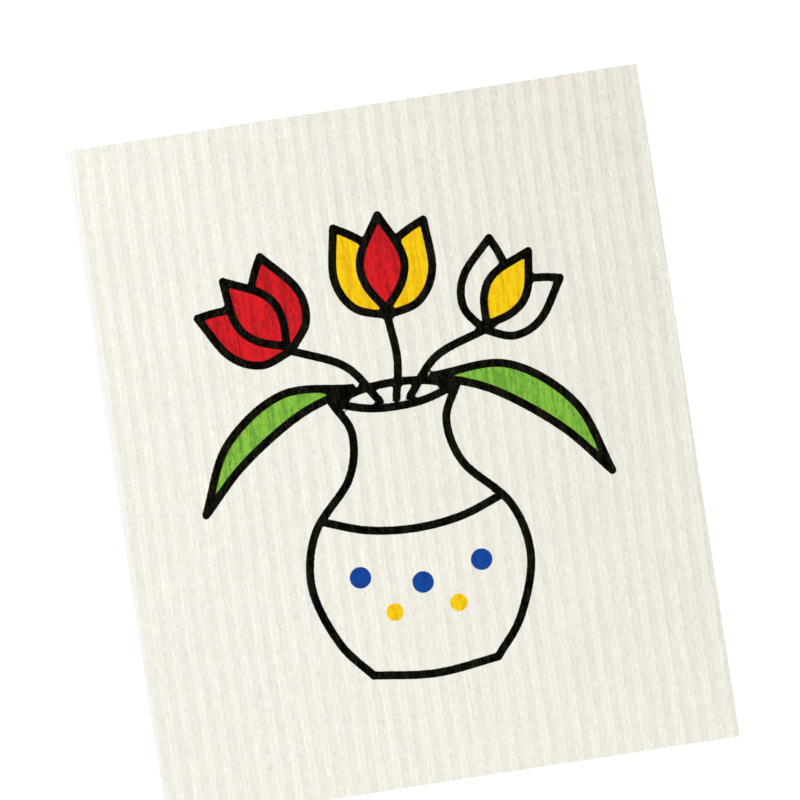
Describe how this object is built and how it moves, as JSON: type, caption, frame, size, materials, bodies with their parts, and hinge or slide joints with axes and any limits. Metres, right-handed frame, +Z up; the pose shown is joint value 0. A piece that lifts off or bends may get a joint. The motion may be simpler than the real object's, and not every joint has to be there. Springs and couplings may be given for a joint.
{
  "type": "dish cloth",
  "caption": "Flat rectangular ribbed sponge dish cloth, bold outline print of a vase of tulips on its front.",
  "frame": {"origin": "middle of the underside, which is the middle of the bottom of the bounding box", "axes": "+Z up through the printed front, +Y along the ribs and the long side, +X across the ribs"},
  "size_m": [0.17, 0.2, 0.0018],
  "materials": {
    "sponge_cloth": "matt, dry, undyed cellulose and cotton sponge cloth, printed in black, red, yellow, green and blue"
  },
  "bodies": {
    "root": {"dish_cloth": "sponge_cloth"}
  },
  "joints": []
}
